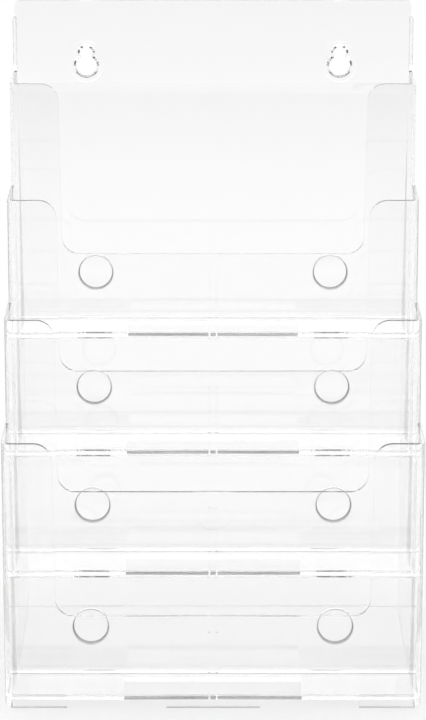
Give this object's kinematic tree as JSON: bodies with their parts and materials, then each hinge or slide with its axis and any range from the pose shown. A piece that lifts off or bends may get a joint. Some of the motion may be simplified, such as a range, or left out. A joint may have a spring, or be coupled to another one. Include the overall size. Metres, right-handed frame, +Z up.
{
  "type": "magazine rack",
  "caption": "Clear stepped literature rack: open-top A4 pockets rise one behind another to a tall back panel with keyholes for hanging on a wall.",
  "frame": {"origin": "on the table, at the centre of the footprint", "axes": "+X to the right, +Y to the rear, +Z up"},
  "size_m": [0.236, 0.181, 0.377],
  "materials": {
    "clear_body": "clear injection-moulded polystyrene, polished",
    "clear_plug": "clear injection-moulded polystyrene, polished"
  },
  "bodies": {
    "root": {"pocket_front": "clear_body", "pocket_second": "clear_body", "pocket_third": "clear_body", "pocket_rear": "clear_body", "back_panel": "clear_body", "plug_front_left": "clear_plug", "plug_front_right": "clear_plug", "plug_second_left": "clear_plug", "plug_second_right": "clear_plug", "plug_third_left": "clear_plug", "plug_third_right": "clear_plug", "plug_rear_left": "clear_plug", "plug_rear_right": "clear_plug"}
  },
  "joints": []
}
